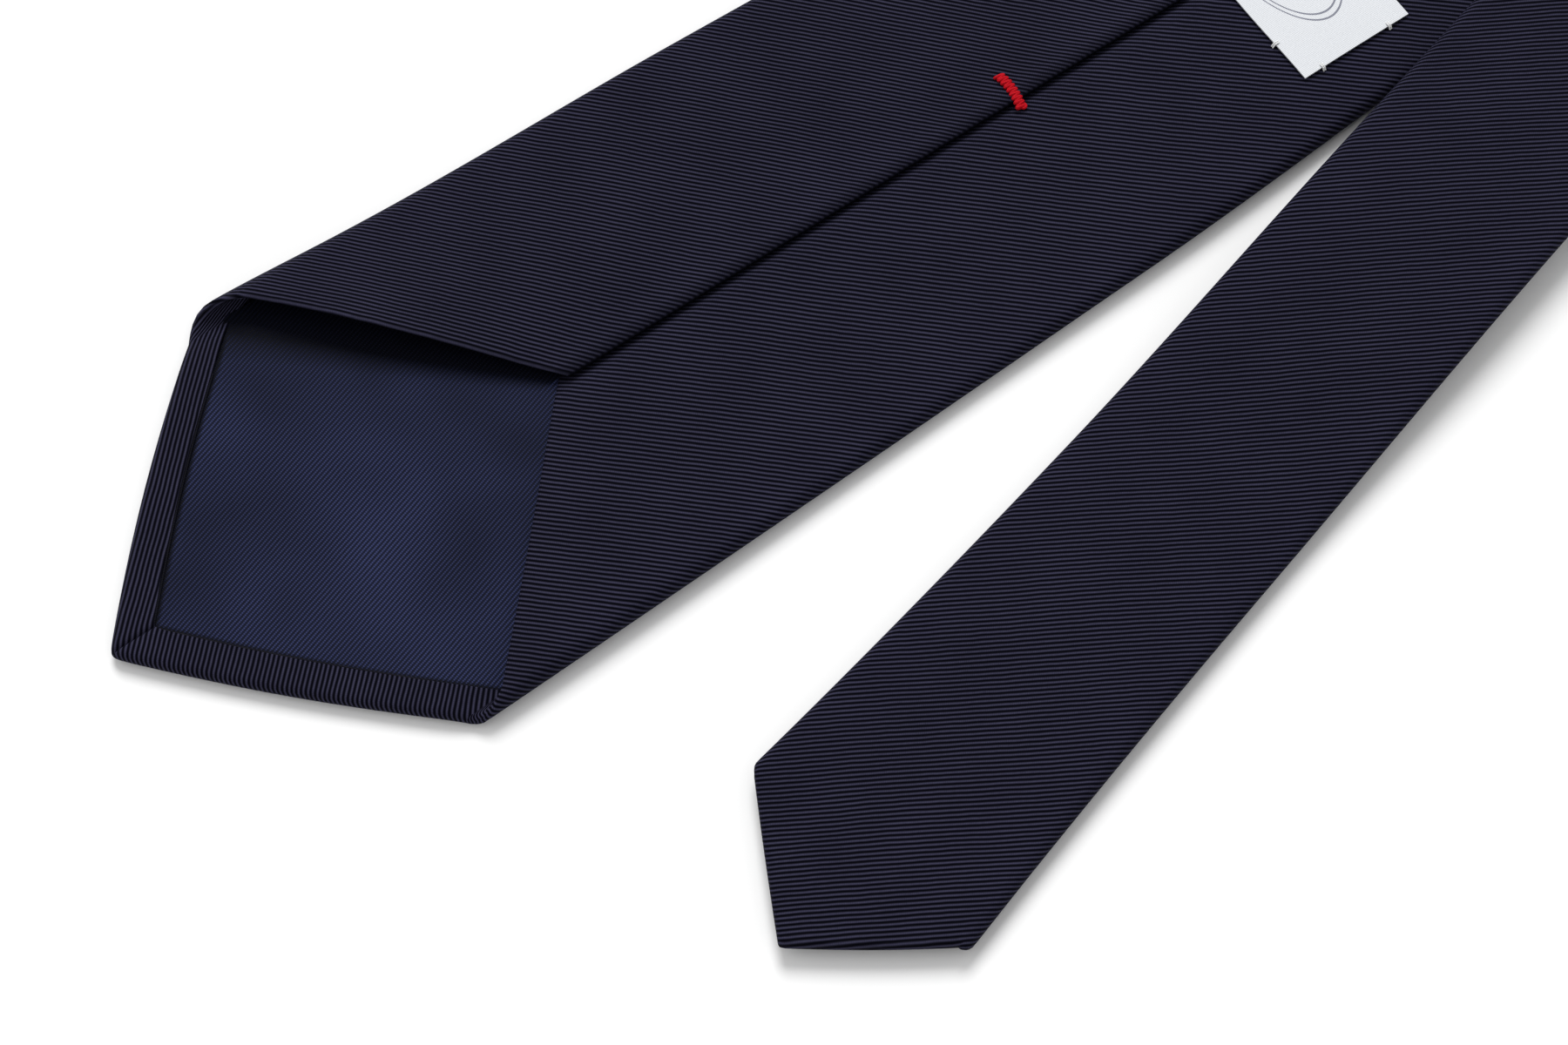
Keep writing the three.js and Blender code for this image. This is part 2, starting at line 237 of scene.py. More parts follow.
def wrapColumns(settings):
    flaps, rounds, fronts = settings["flapColumns"], settings["roundColumns"], settings["frontColumns"]
    firstWide = 3     # the mitre's own columns take the place of the first ones
    halfFront = settings["mitreColumns"] + [i / fronts for i in range(firstWide, fronts + 1)]
    columns = [("flap", -1, 1 - i / flaps) for i in range(flaps)]
    columns += [("round", -1, 1 - i / rounds) for i in range(rounds)]
    columns += [("front", -1, t) for t in reversed(halfFront)]
    columns += [("front", 1, t) for t in [0.0] + halfFront]
    for zone, count in (("round", rounds), ("flap", flaps), ("turn", settings["turnColumns"])):
        columns += [(zone, 1, i / count) for i in range(1, count + 1)]
    return columns


wrap = wrapColumns(fold)


def seamShadeOf(column):
    # painted shade in the seam: the turned seam edge and the flap under it are coloured darker, and their rib
    # bumps are flattened
    zone, side, t = column
    if zone == "turn":
        return 1.0
    if zone == "flap" and t > fold["seamShadeFrom"]:
        near, edge = fold["leftSeamShade" if side > 0 else "rightSeamShade"]
        return edge if t > fold["seamShadeEdge"] else near
    return 0.0


wrapSeamShade = [seamShadeOf(column) for column in wrap]


def sidePuff(s, side):
    # how much thicker the loose folds stand by the point
    if s > fold["puffEnd"]:
        return 0.0
    return fold["leftPuff" if side > 0 else "rightPuff"] * bump(s, *fold["puffAt"])


def flapLift(s, side, t):
    # height over the plain back, t from the side fold at 0 to the seam at 1
    if s > tie["bladeLength"]:
        return 0.0
    lift = sidePuff(s, side) * (1 - ease(t, 0.0, fold["puffReach"])) ** fold["puffPower"]
    if side > 0:
        freeEdge = tie["tipDepth"] * (1 + t)
        fade = exp(-max(s - freeEdge, 0) / fold["archFade"])
        lift += fold["arch"] * sin(pi * clamp(t)) * fade
    wrinkle = sin(s / fold["puckerStep"] + fold["puckerSlant"] * t)
    nearTack = bump(s - tie["tackAt"], *fold["puckerAt"]) * bump(t, *fold["puckerAcross"])
    loose = bump(s, *fold["looseAt"]) * bump(t, *fold["looseAcross"])
    return lift + fold["pucker"] * wrinkle * nearTack + fold["loose"] * loose


def seamShareAt(s):
    # the closed back seam stands up by the free flaps and lies flat at the neck
    return 1 - ease(s, *fold["seamFlattens"])


def section(s, column, inward):
    # y, h and the distance from the centre line on the cut cloth, that far inside the cloth's middle
    zone, side, t = column
    half, thick, skin = halfOn(side, s), thickAt(s), tie["cloth"] / 2
    r = (thick + sidePuff(s, side)) / 2
    flat = half - r
    if zone == "front":
        return side * flat * t, skin + inward, side * flat * t
    if zone == "round":
        angle = pi * (t - 0.5)
        bend = max(r - skin - inward, fold["leastRadius"])
        y = side * (flat + bend * cos(angle))
        return y, r + bend * sin(angle), side * (flat + r * pi * t)
    reach = flat + pi * r
    over = fold["leftOverlap" if side > 0 else "rightOverlap"]
    share = seamShareAt(s)
    if zone == "flap":
        seam = fold["seamRidge"] * share if side > 0 else -lerp(fold["neckDip"], fold["seamDip"], share)
        top = thick - skin + flapLift(s, side, t) + seam * ease(t, 1 - fold["seamWidth"] / flat, 1.0)
        return side * (flat * (1 - t) - over * t * t), top - inward, side * (reach + flat * t)
    # the left flap's seam edge is turned under
    top = thick - skin + flapLift(s, side, 1.0) + fold["seamRidge"] * share
    halfTurn = fold["turnDepth"] / 2
    if t <= fold["turnBend"]:
        angle = pi * t / fold["turnBend"]
        y = -side * (over + halfTurn * sin(angle))
        return y, top - halfTurn * (1 - cos(angle)), side * (reach + flat + halfTurn * angle)
    back = fold["turnRun"] * (t - fold["turnBend"]) / (1 - fold["turnBend"])
    y = -side * (over - back)
    return y, top - fold["turnDepth"], side * (reach + flat + pi * halfTurn + back)


def reflectFlat(s, q, slope):
    # the other side of the fold line along a point's edge, on the cut cloth
    length = hypot(slope, 1)
    ds, dq = slope / length, copysign(1 / length, q)
    along = s * ds + q * dq
    return 2 * along * ds - s, 2 * along * dq - q


smoothUnder = {"sheet": radians(50), "thread": radians(60)}


def onWholeMesh(operator, **settings):
    bpy.ops.object.mode_set(mode="EDIT")
    bpy.ops.mesh.select_all(action="SELECT")
    operator(**settings)
    bpy.ops.object.mode_set(mode="OBJECT")


def flatGrid(name, rows, columns):
    bpy.ops.object.select_all(action="DESELECT")
    bpy.ops.mesh.primitive_grid_add(x_subdivisions=columns - 1, y_subdivisions=rows - 1, size=2)
    piece = bpy.context.object
    piece.name = name
    piece.data.name = name
    return piece


def gridPiece(name, rows, columns, placeAt, flatAt, thickness, seamShade=None):
    # placeAt gives where a corner lies and flatAt where it was on the cut cloth, in millimetres
    piece = flatGrid(name, rows, columns)
    mesh = piece.data
    for vertex in mesh.vertices:
        row, column = divmod(vertex.index, columns)
        vertex.co = placeAt(row, column) * 0.001
    if seamShade:     # how much painted shade each column gets in the seam
        seamShadeLayer = mesh.attributes.new("seamShade", "FLOAT", "POINT")
        for vertex in mesh.vertices:
            seamShadeLayer.data[vertex.index].value = seamShade[vertex.index % columns]
    uv = mesh.uv_layers.active.data
    area = 0.0
    for face in mesh.polygons:
        cells = [divmod(v, columns) for v in face.vertices]
        faceColumn = min(column for row, column in cells)
        corners = []
        for loop, cell in zip(face.loop_indices, cells):
            flat = flatAt(*cell, faceColumn)
            uv[loop].uv = (flat[0] * 0.001, flat[1] * 0.001)
            corners.append(flat)
        area += abs(sum(a[0] * b[1] - b[0] * a[1] for a, b in zip(corners, corners[1:] + corners[:1]))) / 2
    onWholeMesh(bpy.ops.mesh.normals_make_consistent, inside=False)
    wall = piece.modifiers.new("wall", "SOLIDIFY")
    wall.thickness = thickness * 0.001
    wall.offset = 0
    wall.use_even_offset = False
    bpy.ops.object.modifier_apply(modifier="wall")
    bpy.ops.object.shade_smooth_by_angle(angle=smoothUnder["sheet"])
    return piece, area * 1e-6


def finishPiece(piece, body, material, node):
    # a piece without a body is left unattached
    piece.data.materials.clear()
    piece.data.materials.append(material)
    if body:
        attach(piece, body)
    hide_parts(node)


def finishSheet(made, body, material, node):
    piece, area = made
    finishPiece(piece, body, material, node)
    return piece


def tube(name, lines, radius, sides=3, heavy=0):
    # threads along lists of points, joined into one mesh, the last few of them twice as thick
    bpy.ops.object.select_all(action="DESELECT")
    curve = bpy.data.curves.new(name, "CURVE")
    curve.dimensions = "3D"
    curve.bevel_depth = radius * 0.001
    curve.bevel_resolution = sides
    curve.use_fill_caps = True
    curve.resolution_u = 1
    for number, line in enumerate(lines):
        spline = curve.splines.new("POLY")
        spline.points.add(len(line) - 1)
        for point, co in zip(spline.points, line):
            point.co = (*(Vector(co) * 0.001), 1)
            point.radius = 2 if number >= len(lines) - heavy else 1
    piece = bpy.data.objects.new(name, curve)
    bpy.context.collection.objects.link(piece)
    piece.select_set(True)
    bpy.context.view_layer.objects.active = piece
    bpy.ops.object.convert(target="MESH")
    piece = bpy.context.object
    piece.name = name
    onWholeMesh(bpy.ops.mesh.remove_doubles, threshold=2e-6)     # closes the round ends
    bpy.ops.object.shade_smooth_by_angle(angle=smoothUnder["thread"])
    return piece


def linear(r, g, b):
    def one(c):
        c /= 255
        return c / 12.92 if c <= 0.04045 else ((c + 0.055) / 1.055) ** 2.4
    return (one(r), one(g), one(b), 1)


class shaderKit:     # short names for wiring a material
    def __init__(self, name, roughness):
        self.material = bpy.data.materials.new(name)
        self.material.use_nodes = True
        self.tree = self.material.node_tree
        self.shader = self.tree.nodes["Principled BSDF"]
        self.shader.inputs["Roughness"].default_value = roughness
        self.coords = self.new("TexCoord")

    def new(self, kind):
        return self.tree.nodes.new("ShaderNode" + kind)

    def put(self, socket, value):
        if isinstance(value, bpy.types.NodeSocket):
            self.tree.links.new(value, socket)
        else:
            socket.default_value = value

    def math(self, operation, a, b=0.0, c=None):
        node = self.new("Math")
        node.operation = operation
        self.put(node.inputs[0], a)
        self.put(node.inputs[1], b)
        if c is not None:
            self.put(node.inputs[2], c)
        return node.outputs[0]

    def times(self, a, b, plus=None):
        if plus is None:
            return self.math("MULTIPLY", a, b)
        return self.math("MULTIPLY_ADD", a, b, plus)

    def plus(self, a, b):
        return self.math("ADD", a, b)

    def minus(self, a, b):
        return self.math("SUBTRACT", a, b)

    def vector(self, operation, a, b):
        node = self.new("VectorMath")
        node.operation = operation
        self.put(node.inputs[0], a)
        self.put(node.inputs[1], b)
        return node.outputs["Value"] if operation == "DOT_PRODUCT" else node.outputs["Vector"]

    def noise(self, where, scale, detail=2.0):
        node = self.new("TexNoise")
        self.put(node.inputs["Vector"], where)
        node.inputs["Scale"].default_value = scale
        node.inputs["Detail"].default_value = detail
        return node.outputs["Fac"]

    def wave(self, where, direction, spacing, shift=0.0):
        # 0 to 1 along a direction, once every spacing in millimetres
        turns = 2 * pi / (spacing * 0.001)
        length = hypot(*direction[:2]) or 1
        phase = self.vector("DOT_PRODUCT", where, tuple(d / length * turns for d in direction))
        phase = self.plus(phase, shift)
        return self.times(self.math("SINE", phase), 0.5, 0.5)

    def attribute(self, name):
        node = self.new("Attribute")
        node.attribute_name = name
        return node.outputs["Fac"]

    def sway(self, where, scale, amount):
        # slow noise to either side of nought
        return self.times(self.minus(self.noise(where, scale, 1), 0.5), amount)

    def limit(self, value):
        return self.math("MINIMUM", self.math("MAXIMUM", value, 0.0), 1.0)

    def split(self, where):
        node = self.new("SeparateXYZ")
        self.put(node.inputs[0], where)
        return node.outputs[0], node.outputs[1]

    def surface(self, name, value):
        self.put(self.shader.inputs[name], value)

    def mixColour(self, share, a, b):
        node = self.new("Mix")
        node.data_type = "RGBA"
        self.put(node.inputs["Factor"], share)
        for name, colour in (("A", a), ("B", b)):
            self.put(node.inputs[name], linear(*colour) if isinstance(colour, tuple) else colour)
        return node.outputs["Result"]

    def bumpBy(self, height, distance, strength=1.0):
        node = self.new("Bump")
        node.inputs["Distance"].default_value = distance * 0.001
        node.inputs["Strength"].default_value = strength
        self.put(node.inputs["Height"], height)
        self.tree.links.new(node.outputs["Normal"], self.shader.inputs["Normal"])


ribbed = {
    # the darkest colour is painted shade, in the rib grooves and the seam, and the rib tops are painted
    # lighter where light falls on them
    "ribSpacing": 0.716, "yarnSpacing": 0.235, "shadedColour": (3, 3, 9), "ridge": (65, 64, 87),
    "wobble": (260, 1.5), "drift": (42, 5.0),     # each one's scale and amount
    "slowScale": 90, "fineScale": 1500, "fray": 4.0,
    "even": 0.2,              # what each part adds to the cloth's tone
    "slow": 0.3, "fine": 0.3, "yarn": 0.34, "ribShadeSharp": 1.75, "ridgeSharp": 0.62, "deep": 0.13,
    "grainDeep": 0.25, "roughness": 0.62, "yarnPolish": 0.12, "sheen": 0.01, "sheenRoughness": 0.45,
    "sheenTint": (0.75, 0.78, 1.0, 1), "gloss": 0.02,
}


def ribbedCloth(name, look):
    n = shaderKit(name, look["roughness"])
    uv = n.coords.outputs["UV"]
    slow = n.noise(uv, look["slowScale"])
    fine = n.noise(uv, look["fineScale"])
    bend = n.plus(n.sway(uv, *look["wobble"]), n.sway(uv, *look["drift"]))
    rib = n.wave(uv, (1, -1, 0), look["ribSpacing"], bend)
    ridge = n.math("POWER", rib, look["ridgeSharp"])
    yarn = n.wave(uv, (1, 1, 0), look["yarnSpacing"], n.times(fine, look["fray"]))
    grain = n.times(n.times(yarn, ridge), look["yarn"])
    grain = n.times(fine, look["fine"], grain)
    tone = n.plus(n.times(slow, look["slow"], look["even"]), grain)
    # painted shade in the seam: darkens the colour and flattens the rib bumps there
    unshaded = n.minus(1.0, n.attribute("seamShade"))
    # painted shade in the rib grooves: the colour darkens from the ridges into the grooves, times the cloth's
    # own uneven tone
    tone = n.times(n.times(n.math("POWER", rib, look["ribShadeSharp"]), tone), unshaded)
    n.surface("Base Color", n.mixColour(n.limit(tone), look["shadedColour"], look["ridge"]))
    n.surface("Sheen Weight", look["sheen"])
    n.surface("Sheen Roughness", look["sheenRoughness"])
    n.surface("Sheen Tint", look["sheenTint"])
    n.surface("Specular IOR Level", look["gloss"])
    least = look["roughness"] + look["yarnPolish"] / 2
    n.surface("Roughness", n.times(yarn, -look["yarnPolish"], least))
    height = n.times(grain, look["grainDeep"], ridge)
    n.bumpBy(n.times(height, unshaded), look["deep"])
    return n.material


lining = {
    "lineSpacing": 0.6, "dotSpacing": 0.34, "heading": radians(18), "wobble": (300, 1.2),
    "fineScale": 1800, "slowScale": 34, "lineSharp": 1.9, "dots": 0.75, "fine": 0.15,
    # the colour named dark is the painted shadow's colour
    "patches": (1.9, -0.05), "ground": (2, 3, 12), "dot": (54, 61, 100), "dark": (1, 1, 4), "deep": 0.06,
    "roughness": 0.4, "fineRoughness": 0.2, "sheen": 0.02, "gloss": 0.04,
    "shade": 0.85,        # how dark the painted shadow is under the flaps and in the hem's corner
    "shadeNear": 2.8, "shadeGrow": 0.12, "shadeLeast": 0.4, "shadeSharp": 1.3, "rightGap": 2.5,
    "cornerShadeWidth": 1.05,        # width of the painted shade in the hem's corner
    "cornerShadeSharp": 1.8, "cornerShadeSag": 1.65, "cornerShadeUntil": 43.0,
}


def liningPaintedShade(n, uv, look):
    # painted shadow, 0 in the open to 1 under the flaps, and painted shade in the hem's corner
    slant = sqrt(0.5)
    s, y = [n.times(metres, 1000.0) for metres in n.split(uv)]
    across = n.math("ABSOLUTE", y)
    away = n.times(n.plus(s, across), -slant, 2 * tie["tipDepth"] * slant)
    away = n.times(n.math("LESS_THAN", y, 0.0), look["rightGap"], away)
    reach = n.times(y, look["shadeGrow"], look["shadeNear"])
    reach = n.math("MAXIMUM", reach, look["shadeLeast"])
    flapShadow = n.minus(1.0, n.math("DIVIDE", away, reach))
    flapShadow = n.limit(n.times(flapShadow, look["shadeSharp"]))
    sag = n.math("SINE", n.times(across, pi / look["cornerShadeUntil"]))
    past = n.times(sag, look["cornerShadeSag"], n.minus(s, across))
    past = n.times(past, slant, -tie["hemWidth"])
    hemCornerShade = n.minus(1.0, n.math("DIVIDE", past, look["cornerShadeWidth"]))
    hemCornerShade = n.limit(n.times(hemCornerShade, look["cornerShadeSharp"]))
    return n.times(n.math("MAXIMUM", flapShadow, hemCornerShade), look["shade"])


def twillLining(name, look, paintShade):
    n = shaderKit(name, look["roughness"])
    uv = n.coords.outputs["UV"]
    c, s = cos(look["heading"]), sin(look["heading"])
    scale, amount = look["wobble"]
    line = n.wave(uv, (-s, c, 0), look["lineSpacing"], n.times(n.noise(uv, scale, 1), amount))
    dot = n.wave(uv, (c, s, 0), look["dotSpacing"])
    fine = n.noise(uv, look["fineScale"])
    slow = n.noise(uv, look["slowScale"])
    dots = n.times(dot, look["dots"], 1 - look["dots"])
    weave = n.times(n.math("POWER", line, look["lineSharp"]), dots)
    tone = n.times(fine, look["fine"], weave)
    tone = n.times(tone, n.times(slow, *look["patches"]))
    colour = n.mixColour(n.math("MINIMUM", tone, 1.0), look["ground"], look["dot"])
    # the blade's lining gets painted shadow under the flaps and painted shade in the hem's corner
    if paintShade:
        colour = n.mixColour(liningPaintedShade(n, uv, look), colour, look["dark"])
    n.surface("Base Color", colour)
    n.surface("Sheen Weight", look["sheen"])
    n.surface("Specular IOR Level", look["gloss"])
    n.surface("Roughness", n.times(fine, look["fineRoughness"], look["roughness"]))
    n.bumpBy(weave, look["deep"])
    return n.material


feltLook = {
    "hairScale": 2600, "patchScale": 120, "mix": 0.6, "dark": (168, 164, 152), "light": (214, 210, 200),
    "deep": 0.25, "roughness": 0.95,
}


def feltMaterial(name, look):
    n = shaderKit(name, look["roughness"])
    where = n.coords.outputs["Object"]
    hair = n.noise(where, look["hairScale"], 6)
    tone = n.times(n.plus(hair, n.noise(where, look["patchScale"], 3)), look["mix"])
    n.surface("Base Color", n.mixColour(tone, look["dark"], look["light"]))
    n.bumpBy(hair, look["deep"])
    return n.material


threadLook = {
    "plyHeading": (0.7, 0.7, 0.5), "plySpacing": 0.22, "plyScale": 900, "plyFray": 3.0,
    "hairScale": 5000, "ply": 0.6, "hair": 0.5, "hairRoughness": 0.3, "polish": 0.1, "sheen": 0.01,
    "gloss": 0.12, "deep": 0.05,
}


def threadMaterial(name, dark, light, roughness=0.5):
    look = threadLook
    n = shaderKit(name, roughness)
    where = n.coords.outputs["Object"]
    fray = n.times(n.noise(where, look["plyScale"], 1), look["plyFray"])
    ply = n.wave(where, look["plyHeading"], look["plySpacing"], fray)
    hair = n.noise(where, look["hairScale"])
    tone = n.times(ply, look["ply"], n.times(hair, look["hair"]))
    n.surface("Base Color", n.mixColour(tone, dark, light))
    n.surface("Roughness", n.times(hair, look["hairRoughness"], roughness - look["polish"]))
    n.surface("Sheen Weight", look["sheen"])
    n.surface("Specular IOR Level", look["gloss"])
    n.bumpBy(ply, look["deep"])
    return n.material


labelLook = {
    "warp": 0.28, "weft": 0.2, "frayScale": 1200, "fray": 2.0, "ground": (207, 210, 215),
    "light": (233, 235, 238), "mark": (30, 36, 78), "markAt": (10.3, 0.0), "ovalWidth": 8.0,
    "ovalLength": 17.5, "ovals": (0.93, 1.0), "lineWidth": 0.16, "lozengeRows": 3.5,
    "lozengeSlope": (1.6, 1.4), "lozengeSize": 0.34, "lozengeEnd": 0.86, "markWeave": 0.5,
    "roughness": 0.4, "weaveRoughness": 0.2, "sheen": 0.1, "deep": 0.05,
}


def labelMaterial(name, look):
    # woven satin with a plain double oval and small lozenges in navy
    n = shaderKit(name, look["roughness"])
    uv = n.coords.outputs["UV"]
    warp = n.wave(uv, (0, 1, 0), look["warp"])
    fray = n.times(n.noise(uv, look["frayScale"], 1), look["fray"])
    weft = n.wave(uv, (1, 0, 0), look["weft"], fray)
    weave = n.times(warp, weft)
    ground = n.mixColour(weave, look["ground"], look["light"])
    centre = tuple(v * 0.001 for v in (*look["markAt"], 0))
    x, y = n.split(n.vector("SUBTRACT", uv, centre))
    x = n.math("DIVIDE", n.math("ABSOLUTE", x), look["ovalWidth"] * 0.001)
    y = n.math("DIVIDE", n.math("ABSOLUTE", y), look["ovalLength"] * 0.001)
    away = n.math("SQRT", n.plus(n.times(x, x), n.times(y, y)))
    halfLine = look["lineWidth"] / look["ovalWidth"] / 2
    ovals = [n.math("ABSOLUTE", n.minus(away, at)) for at in look["ovals"]]
    ovals = n.math("LESS_THAN", n.math("MINIMUM", *ovals), halfLine)
    row = n.math("FRACT", n.times(y, look["lozengeRows"]))
    row = n.math("ABSOLUTE", n.minus(row, 0.5))
    slopeX, slopeY = look["lozengeSlope"]
    lozenge = n.times(x, slopeX, n.times(row, slopeY))
    lozenge = n.math("LESS_THAN", lozenge, look["lozengeSize"])
    lozenge = n.times(lozenge, n.math("LESS_THAN", y, look["lozengeEnd"]))
    markTone = n.times(weft, look["markWeave"], 1 - look["markWeave"])
    mark = n.times(n.math("MAXIMUM", ovals, lozenge), markTone)
    n.surface("Base Color", n.mixColour(mark, ground, look["mark"]))
    n.surface("Roughness", n.times(weave, look["weaveRoughness"], look["roughness"]))
    n.surface("Sheen Weight", look["sheen"])
    n.bumpBy(weave, look["deep"])
    return n.material


shellMaterial = ribbedCloth("ribbed navy cloth", ribbed)
bladeLining = twillLining("blue twill lining with painted shade", lining, True)
tailLining = twillLining("twill lining without painted shade", lining, False)
felt = feltMaterial("interlining felt", feltLook)
navyThread = threadMaterial("navy thread", (14, 14, 28), (52, 52, 74))
# near-black thread, darker than the navy thread, as painted shade in the hem's corner
shadeDarkThread = threadMaterial("near-black thread as painted shade", (3, 3, 8), (14, 14, 26), 0.7)
redThread = threadMaterial("red thread", (120, 0, 10), (216, 4, 28), 0.6)
whiteThread = threadMaterial("white thread", (205, 206, 208), (250, 250, 250), 0.42)
labelWeave = labelMaterial("woven label", labelLook)
print("materials made")


def bowAt(y, bow):
    # how far the point's edge bows out between its corner and the side fold
    return bow["left" if y > 0 else "right"] * sin(pi * clamp(abs(y) / bow["until"]))


def shoulderOf(column, bow):
    zone, side, t = column
    if zone != "round":
        return 0.0
    return bow["leftShoulder" if side > 0 else "rightShoulder"] * sin(pi * t)


def tipEdge(column, slope, toTie, bow, rounding):
    # where the turned edge of a point lies for a column, found by a few rounds
    s = tie["tipDepth"]
    for _ in range(6):
        q = section(toTie(s), column, 0)[2]
        s = slope * hypot(q, rounding)
    return s - bowAt(copysign(q, column[1]), bow) - shoulderOf(column, bow)


def hemInwardAt(column, deep):
    # the hem lies over the interlining across the front and close to the cloth round the sides
    zone, side, t = column
    if zone == "front":
        return lerp(deep, fold["hemAtSide"], ease(t, 0.93, 1.0))
    if zone == "round":
        return lerp(fold["hemAtSide"], fold["hemAtFlap"], ease(t, 0.1, 0.9))
    return fold["hemAtFlap"]


hem = {
    "shares": [1.0, 0.8, 0.6, 0.42],     # rows over the hem, its raw edge first
    "foldShare": 0.25,
    "angles": [90, 66, 42, 18, -6, -30, -54, -75],     # rows from the hem round to the front
    "settle": 30.0, "mitreGroove": 0.5, "mitreWidth": 0.36, "joinGap": 0.14, "joinTuck": 0.28,
}
joinGap = hem["joinGap"]


def tuckEnd(h, s):
    # the last row before a join sinks into the cloth from whichever face it lies on
    return h + (hem["joinTuck"] if h < thickAt(s) / 2 else -hem["joinTuck"])


def pointCloth(name, slope, hemWidth, deep, steps, startOf, endOf, toTie, bow):
    # the hem, the turned edge, and the cloth from there up to a join
    starts = [startOf(c) for c in wrap]
    ends = [endOf(c) for c in wrap]
    slant = hypot(1, slope)
    run = hemWidth * slant
    least = hem["shares"][-1]
    hemRows, edgeRows = len(hem["shares"]), len(hem["angles"])
    rows = hemRows + edgeRows + len(steps)
    cells = {}

    def cell(row, column):
        key = (row, column)
        if key in cells:
            return cells[key]
        inward = hemInwardAt(wrap[column], deep)
        turned = inward / 2 * slant
        extra = (pi / 2 - 1) * turned
        start = starts[column]
        if row < hemRows:
            share = (hem["shares"][row] - least) / (1 - least)
            s = start + lerp(turned, run, lerp(hem["foldShare"], 1, share))
            s += share * shoulderOf(wrap[column], bow)
            result = (s, inward, -(s - start + extra))
        elif row < hemRows + edgeRows:
            angle = radians(hem["angles"][row - hemRows])
            s = start + turned * (1 - cos(angle))
            result = (s, inward / 2 * (1 + sin(angle)), -turned * angle)
        else:
            share = steps[row - hemRows - edgeRows]
            s = lerp(start + turned, ends[column], share)
            result = (s, 0.0, s - start + extra * exp(-(s - start) / hem["settle"]))
        cells[key] = result
        return result

    def placeAt(row, column):
        s, inward, _ = cell(row, column)
        y, h, _ = section(toTie(s), wrap[column], inward)
        if row == rows - 1:
            h = tuckEnd(h, toTie(s))
        if inward > 0.6 * deep and wrap[column][0] == "front":     # the hem's mitre
            h -= hem["mitreGroove"] * bump(y, 0, hem["mitreWidth"])
        return place(toTie(s), y, h)

    def flatAt(row, column, faceColumn):
        # the two halves of the hem meet at the mitre, so a face there keeps to its own side
        s, _, away = cell(row, column)
        q = copysign(section(toTie(s), wrap[column], 0)[2], wrap[faceColumn][1])
        flat = (starts[column] + away, q)
        if away < 0:
            flat = reflectFlat(starts[column] - away, q, slope)
        return (toTie(flat[0]), flat[1])

    return gridPiece(name, rows, len(wrap), placeAt, flatAt, tie["cloth"], wrapSeamShade)


lastRow = 0.5     # from a join's edge to the row before it


def growingSteps(settings):
    # shares from just past 0 to 1, fine at first and then coarse
    length, fine, coarse = settings["length"], settings["fine"], settings["coarse"]
    shares, at = [], fine
    while at < length - coarse * 0.6:
        shares.append(at / length)
        at += lerp(fine, coarse, ease(at, settings["fineUntil"] * 0.6, settings["fineUntil"] * 1.6))
    shares.append(1 - lastRow / length)
    shares.append(1.0)
    return shares


def joinLine(at, shift, column):
    # the joins run slanting across the cloth, found by a few rounds
    s = at
    for _ in range(5):
        s = at + shift + section(s, column, 0)[2]
    return s


bladeBow = {"left": 1.8, "right": 1.5, "until": 43.0, "leftShoulder": 2.0, "rightShoulder": 1.2}
tailBow = {"left": 0.2, "right": 0.6, "until": 24.0, "leftShoulder": 0.7, "rightShoulder": 1.7}
blade = {
    "hemDeep": 2.32, "rounding": 0.6, "length": 560, "fine": 1.35, "coarse": 4.2, "fineUntil": 95.0,
    "stitched": 34, "hemTop": 2.53,
}
bladeSlope = tie["tipDepth"] / tie["bladeHalfWidth"]


def same(s):
    return s


bladeMade = pointCloth(
    "bladeCloth", bladeSlope, tie["hemWidth"], blade["hemDeep"],
    growingSteps(blade), lambda c: tipEdge(c, bladeSlope, same, bladeBow, blade["rounding"]),
    lambda c: joinLine(tie["joinAt"], -joinGap, c), same, bladeBow)
bladeCloth = finishSheet(bladeMade, "blade_half", shellMaterial, "blade_shell")
print("wide blade made:", len(bladeCloth.data.polygons), "faces")


# the neck runs from the blade's join round the fold to the tail's join
neck = {
    "squareFrom": 700,          # between these two its rows lie square across the tie
    "squareUntil": 790,
    "steps": (0.45, 1.2, 3.4),     # from row to row: in the fold, beside it, and along the rest
    "foldReach": 5.5, "besideReach": 12, "endRoom": 1.5,
}


def neckRows():
    # where each row crosses the centre line, and how far it slants as the joins do
    start, end = tie["joinAt"] + joinGap, tailJoin - joinGap
    foldMiddle = tie["bladeLength"] + foldLength / 2
    fine, medium, coarse = neck["steps"]
    rows, s = [], start
    while s < end - neck["endRoom"]:
        away = abs(s - foldMiddle)
        before = 1 - ease(s, tie["joinAt"], neck["squareFrom"])
        rows.append((s, before if s < foldMiddle else ease(s, neck["squareUntil"], tailJoin)))
        s += fine if away < neck["foldReach"] else (medium if away < neck["besideReach"] else coarse)
    rows.insert(1, (start + lastRow, 1.0))
    return rows + [(end - lastRow, 1.0), (end, 1.0)]


neckRowList = neckRows()


def neckAt(row, column):
    s, slant = neckRowList[row]
    if slant == 0:
        return s
    at = s
    for _ in range(4):
        at = s + slant * section(at, wrap[column], 0)[2]
    return at


def neckPlace(row, column):
    s = neckAt(row, column)
    y, h, _ = section(s, wrap[column], 0)
    if row in (0, len(neckRowList) - 1):
        h = tuckEnd(h, s)
    return place(s, y, h)


def neckFlat(row, column, _):
    s = neckAt(row, column)
    return (s, section(s, wrap[column], 0)[2])


neckMade = gridPiece(
    "neckCloth", len(neckRowList), len(wrap), neckPlace, neckFlat, tie["cloth"], wrapSeamShade)
neckCloth = finishSheet(neckMade, None, shellMaterial, "neck_shell")

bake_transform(neckCloth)
print("neck made:", len(neckCloth.data.polygons), "faces")

